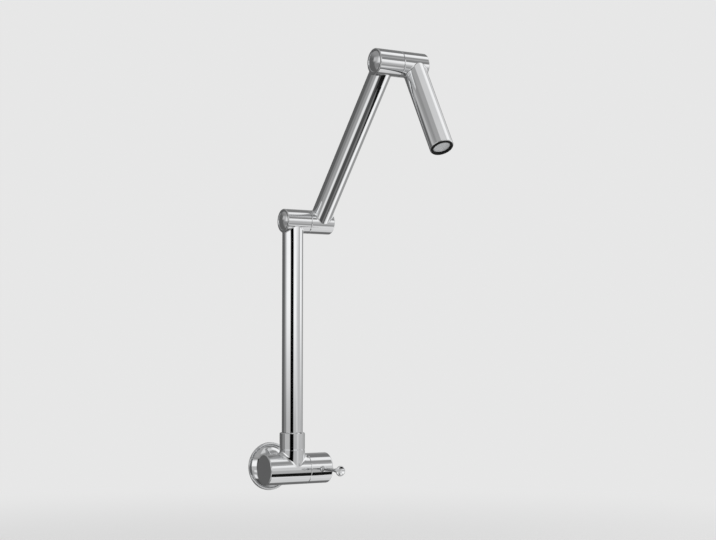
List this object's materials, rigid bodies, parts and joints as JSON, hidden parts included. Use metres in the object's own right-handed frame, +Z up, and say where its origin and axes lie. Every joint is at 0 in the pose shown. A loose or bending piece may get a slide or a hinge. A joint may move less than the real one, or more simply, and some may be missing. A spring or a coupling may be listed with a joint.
{
  "type": "wall mounted pot filler",
  "caption": "Wall mounted tap for filling pots: a valve barrel on the wall, a swivelling riser, a folding arm and a spout, joined by hollow elbow joints.",
  "frame": {"origin": "the wall's surface, on the axis of the inlet thread", "axes": "+Y into the wall along the inlet thread, +X to the right along the wall as seen from the room, +Z up along the riser"},
  "size_m": [0.1113, 0.2536, 0.4493],
  "materials": {
    "polished_chrome": "mirror polished plating on brass",
    "plain_brass": "turned",
    "black_rubber": "matt",
    "ceramic": "lapped",
    "white_nylon": "plain",
    "plain_steel": "plain",
    "fibre": "pressed fibre",
    "black_plastic": "satin",
    "grey_plastic": "plain"
  },
  "bodies": {
    "wall_mount": {"wall_flange": "polished_chrome", "flange_gasket": "black_rubber", "flange_o_ring": "black_rubber", "inlet_nipple": "plain_brass", "inlet_washer": "fibre", "valve_body": "polished_chrome", "body_end_plug": "polished_chrome", "end_plug_seal": "black_rubber", "cartridge_body": "plain_brass", "cartridge_o_ring": "black_rubber", "cartridge_seat_seal": "black_rubber", "fixed_disc": "ceramic", "swivel_nut": "polished_chrome", "swivel_washer": "white_nylon", "swivel_split_ring": "white_nylon"},
    "handle": {"handle_hub": "polished_chrome", "hub_grub_screw": "plain_steel", "lever_ferrule": "polished_chrome", "lever_rod": "polished_chrome", "lever_tip": "polished_chrome", "cartridge_spindle": "plain_brass", "spindle_seals": "black_rubber", "spindle_clip": "plain_steel", "moving_disc": "ceramic"},
    "riser": {"swivel_stem": "plain_brass", "stem_seals": "black_rubber", "riser_tube": "polished_chrome", "lower_fixed_housing": "polished_chrome", "lower_fixed_cap": "polished_chrome", "lower_fixed_cap_seal": "black_rubber", "lower_pivot_bolt": "plain_brass", "lower_pivot_seals": "black_rubber", "lower_pivot_washers": "black_plastic"},
    "arm": {"lower_moving_housing": "polished_chrome", "lower_moving_cap": "polished_chrome", "lower_moving_cap_seal": "black_rubber", "arm_tube": "polished_chrome", "upper_fixed_housing": "polished_chrome", "upper_fixed_cap": "polished_chrome", "upper_fixed_cap_seal": "black_rubber", "upper_pivot_bolt": "plain_brass", "upper_pivot_seals": "black_rubber", "upper_pivot_washers": "black_plastic"},
    "spout": {"upper_moving_housing": "polished_chrome", "upper_moving_cap": "polished_chrome", "upper_moving_cap_seal": "black_rubber", "spout_tube": "polished_chrome", "aerator_shell": "black_plastic", "aerator_insert": "grey_plastic", "aerator_washer": "black_rubber"}
  },
  "joints": [
    {"name": "handle_turn", "type": "hinge", "parent": "wall_mount", "child": "handle", "pos_m": [0.0294, -0.047, 0], "axis": [1, 0, 0], "range_deg": [0, 90]},
    {"name": "riser_swivel", "type": "hinge", "parent": "wall_mount", "child": "riser", "pos_m": [0, -0.0495, 0.0382], "axis": [0, 0, 1], "range_deg": [-105, 27]},
    {"name": "lower_elbow", "type": "hinge", "parent": "riser", "child": "arm", "pos_m": [0.0168, -0.0495, 0.26], "axis": [1, 0, 0], "range_deg": [-40.8, 139.2]},
    {"name": "upper_elbow", "type": "hinge", "parent": "arm", "child": "spout", "pos_m": [0.0476, -0.17953, 0.41064], "axis": [1, 0, 0], "range_deg": [-109.4, 70.6]}
  ]
}
